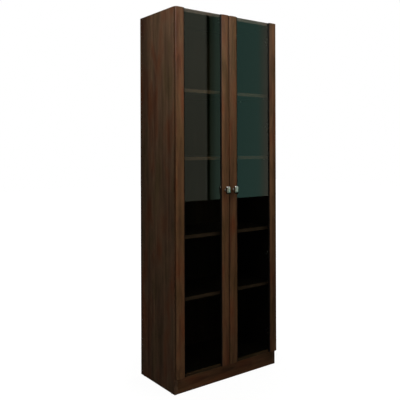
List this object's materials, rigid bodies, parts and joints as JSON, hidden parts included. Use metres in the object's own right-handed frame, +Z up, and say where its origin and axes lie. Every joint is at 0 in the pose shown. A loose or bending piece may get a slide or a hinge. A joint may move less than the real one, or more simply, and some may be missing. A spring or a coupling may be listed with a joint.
{
  "type": "glazed bookcase",
  "caption": "Tall free-standing bookcase of dark walnut-foil board with hinged full-height glass doors, plinth, shelves and chrome knobs.",
  "frame": {"origin": "on the floor, under the middle of the bounding box of the closed bookcase", "axes": "+Z up, +Y towards the back, -Y towards a person who opens the doors, +X to that person's right"},
  "size_m": [0.708, 0.3855, 2],
  "materials": {
    "back_hardboard": "printed hardboard, matt",
    "beech": "fluted beech, raw",
    "bumper_rubber": "soft clear pad",
    "carcass_foil": "dark walnut foil on particle board, satin",
    "catch_plastic": "brown moulded plastic",
    "clear_glass": "clear float glass, polished",
    "ferrite": "dark ferrite",
    "glide_plastic": "brown nylon",
    "knob_chrome": "polished chrome plate",
    "nickel_plated_steel": "nickel-plated",
    "plinth_foil": "dark walnut foil on particle board, satin",
    "seal_plastic": "dark brown glazing strip",
    "shelf_foil": "dark walnut foil on particle board, satin",
    "stile_foil": "dark walnut foil wrapped round a moulded stile, satin",
    "zinc_alloy": "die-cast zinc alloy",
    "zinc_plated_steel": "zinc-plated"
  },
  "bodies": {
    "carcass": {"back_panel": "back_hardboard", "back_panel_screws": "zinc_plated_steel", "bottom_panel": "carcass_foil", "cam_bolts": "zinc_plated_steel", "cam_locks": "zinc_alloy", "catch_housings": "catch_plastic", "catch_magnets": "ferrite", "catch_pole_plates": "nickel_plated_steel", "catch_screws": "zinc_plated_steel", "door_bumpers": "bumper_rubber", "floor_glides": "glide_plastic", "front_plinth": "plinth_foil", "hinge_arm_screws": "zinc_plated_steel", "hinge_arms": "nickel_plated_steel", "hinge_mounting_plates": "nickel_plated_steel", "hinge_plate_screws": "zinc_plated_steel", "left_side_panel": "carcass_foil", "lower_shelf": "shelf_foil", "middle_shelf": "shelf_foil", "rear_plinth": "plinth_foil", "right_side_panel": "carcass_foil", "shelf_pins": "nickel_plated_steel", "top_panel": "carcass_foil", "top_shelf": "shelf_foil", "upper_shelf": "shelf_foil", "wood_dowels": "beech"},
    "left_door": {"left_door_glass_pane": "clear_glass", "left_door_glazing_seals": "seal_plastic", "left_door_hinge_cup_screws": "zinc_plated_steel", "left_door_hinge_cups": "nickel_plated_steel", "left_door_hinge_pins": "nickel_plated_steel", "left_door_inner_stile": "stile_foil", "left_door_knob": "knob_chrome", "left_door_knob_screw": "zinc_plated_steel", "left_door_outer_stile": "stile_foil", "left_door_strike_plate": "nickel_plated_steel", "left_door_strike_screw": "zinc_plated_steel"},
    "right_door": {"right_door_glass_pane": "clear_glass", "right_door_glazing_seals": "seal_plastic", "right_door_hinge_cup_screws": "zinc_plated_steel", "right_door_hinge_cups": "nickel_plated_steel", "right_door_hinge_pins": "nickel_plated_steel", "right_door_inner_stile": "stile_foil", "right_door_knob": "knob_chrome", "right_door_knob_screw": "zinc_plated_steel", "right_door_outer_stile": "stile_foil", "right_door_strike_plate": "nickel_plated_steel", "right_door_strike_screw": "zinc_plated_steel"}
  },
  "joints": [
    {"name": "left_door_hinge", "type": "hinge", "parent": "carcass", "child": "left_door", "pos_m": [-0.3465, -0.15725, 1.042], "axis": [0, 0, -1], "range_deg": [0, 105]},
    {"name": "right_door_hinge", "type": "hinge", "parent": "carcass", "child": "right_door", "pos_m": [0.3465, -0.15725, 1.042], "axis": [0, 0, 1], "range_deg": [0, 105]}
  ]
}
